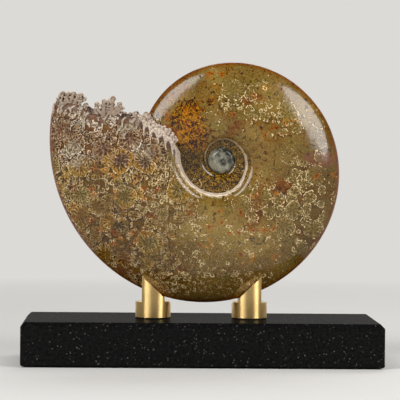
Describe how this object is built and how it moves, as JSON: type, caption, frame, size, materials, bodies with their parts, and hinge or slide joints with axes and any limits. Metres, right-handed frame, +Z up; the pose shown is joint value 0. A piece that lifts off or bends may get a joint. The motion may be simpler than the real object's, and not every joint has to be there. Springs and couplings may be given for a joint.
{
  "type": "polished ammonite fossil on stand",
  "caption": "Polished ammonite fossil with a broken, frilled chamber wall at its open end, standing on its keel in slotted brass posts on a black granite slab.",
  "frame": {"origin": "on the surface the object stands on, under the middle of the slab", "axes": "+X along the slab, to the right seen from the front; the shell coils in the XZ plane, so -Y is its front; +Z up"},
  "size_m": [0.25, 0.1, 0.2115],
  "materials": {
    "polished_fossil": "polished shell and calcite",
    "black_granite": "polished",
    "satin_brass": "turned satin",
    "bright_steel": "plain",
    "black_felt": "felt"
  },
  "bodies": {
    "root": {"ammonite": "polished_fossil", "base_slab": "black_granite", "support_left": "satin_brass", "support_right": "satin_brass", "screw_left": "bright_steel", "screw_right": "bright_steel", "pad_front_left": "black_felt", "pad_front_right": "black_felt", "pad_back_left": "black_felt", "pad_back_right": "black_felt"}
  },
  "joints": []
}
